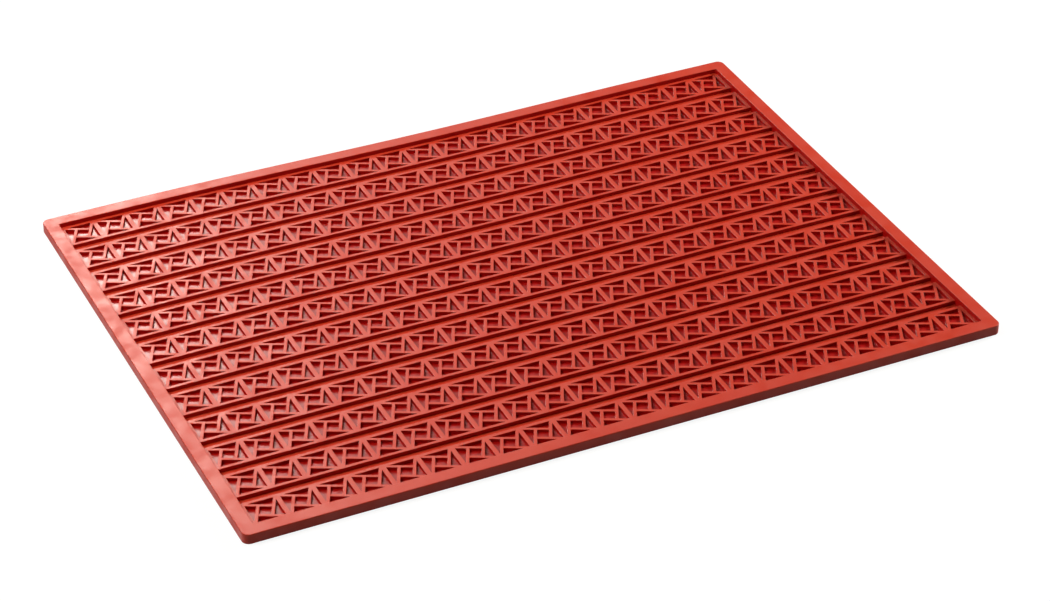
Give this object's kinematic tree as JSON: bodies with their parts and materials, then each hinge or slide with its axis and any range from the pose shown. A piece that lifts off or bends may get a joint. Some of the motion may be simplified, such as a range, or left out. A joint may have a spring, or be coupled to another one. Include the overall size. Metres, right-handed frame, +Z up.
{
  "type": "silicone texture mat",
  "caption": "Flexible red silicone mat with a raised border round parallel relief bands of pinwheel lattice, for moulding a pattern into paste, batter or chocolate.",
  "frame": {"origin": "middle of the flat underside, on the surface that the mat lies on", "axes": "+X along the long side and the relief bands, +Y from the front edge to the back edge, +Z up out of the patterned face"},
  "size_m": [0.55, 0.398, 0.0075],
  "materials": {
    "silicone": "satin red silicone rubber with a fine moulded grain"
  },
  "bodies": {
    "root": {"base_sheet": "silicone", "front_border": "silicone", "right_border": "silicone", "back_border": "silicone", "left_border": "silicone", "relief_band_01": "silicone", "relief_band_02": "silicone", "relief_band_03": "silicone", "relief_band_04": "silicone", "relief_band_05": "silicone", "relief_band_06": "silicone", "relief_band_07": "silicone", "relief_band_08": "silicone", "relief_band_09": "silicone", "relief_band_10": "silicone", "relief_band_11": "silicone", "relief_band_12": "silicone"}
  },
  "joints": []
}
